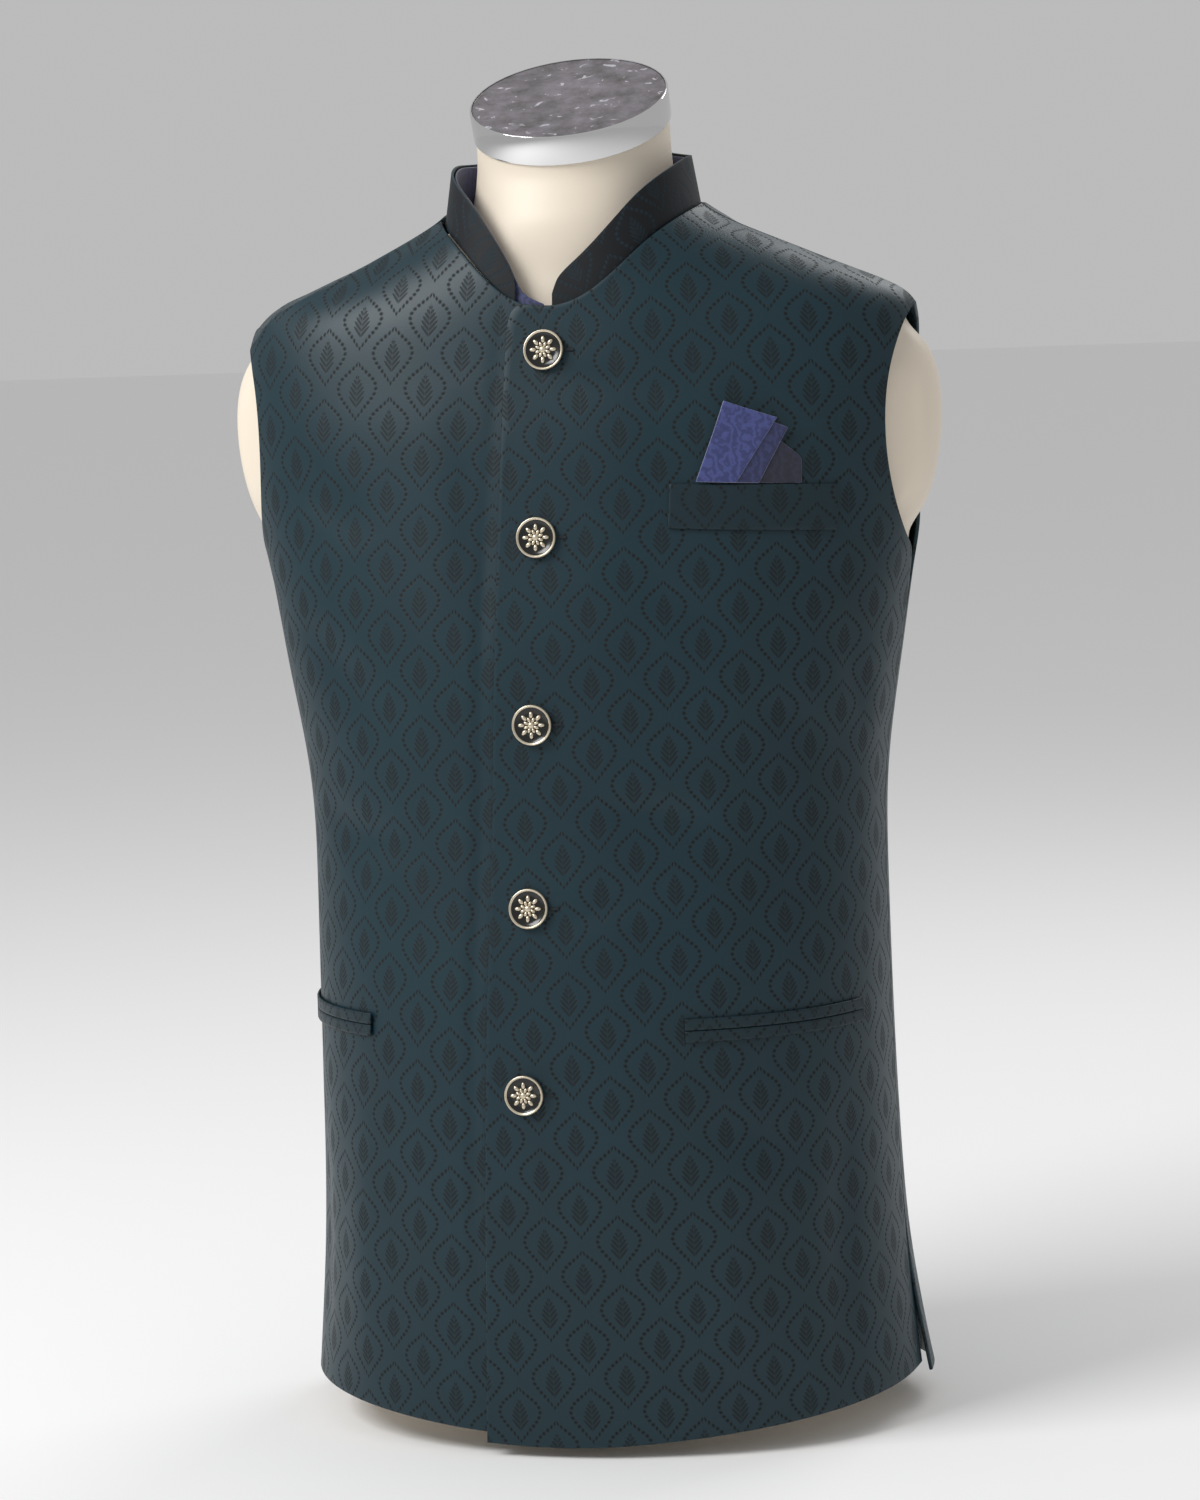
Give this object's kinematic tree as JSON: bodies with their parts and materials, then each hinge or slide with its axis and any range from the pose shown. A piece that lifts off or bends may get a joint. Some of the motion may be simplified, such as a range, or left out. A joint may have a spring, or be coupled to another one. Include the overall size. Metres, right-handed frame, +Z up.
{
  "type": "nehru jacket on dress form",
  "caption": "Sleeveless stand-collar nehru jacket of dark teal brocade, buttoned up on a limbless dress form with a capped neck.",
  "frame": {"origin": "under the middle of the form, on the surface it stands on", "axes": "+Z up; the front faces -Y; the wearer's left is +X"},
  "size_m": [0.4564, 0.2829, 0.8582],
  "materials": {
    "brocade": "dark teal satin brocade with a small woven leaf in a dotted frame",
    "collar_cloth": "dark brocade, nearly plain and duller than the body's",
    "lining": "navy satin jacquard",
    "button_metal": "silvered metal rim round a black field; the artwork on it is a plain rosette",
    "form": "cream coated shell, smooth and satin",
    "band": "polished chrome",
    "cap": "dark grey stone-look laminate"
  },
  "bodies": {
    "root": {"front_left": "brocade", "front_right": "brocade", "back": "brocade", "collar": "collar_cloth", "collar_lining": "lining", "breast_welt": "brocade", "square_fold_1": "lining", "square_fold_2": "lining", "square_fold_3": "lining", "pocket_lip_lower_left": "brocade", "pocket_lip_upper_left": "brocade", "pocket_lip_lower_right": "brocade", "pocket_lip_upper_right": "brocade", "button_1": "button_metal", "button_2": "button_metal", "button_3": "button_metal", "button_4": "button_metal", "button_5": "button_metal", "dress_form": "form", "neck_band": "band", "cap_plate": "cap"}
  },
  "joints": []
}
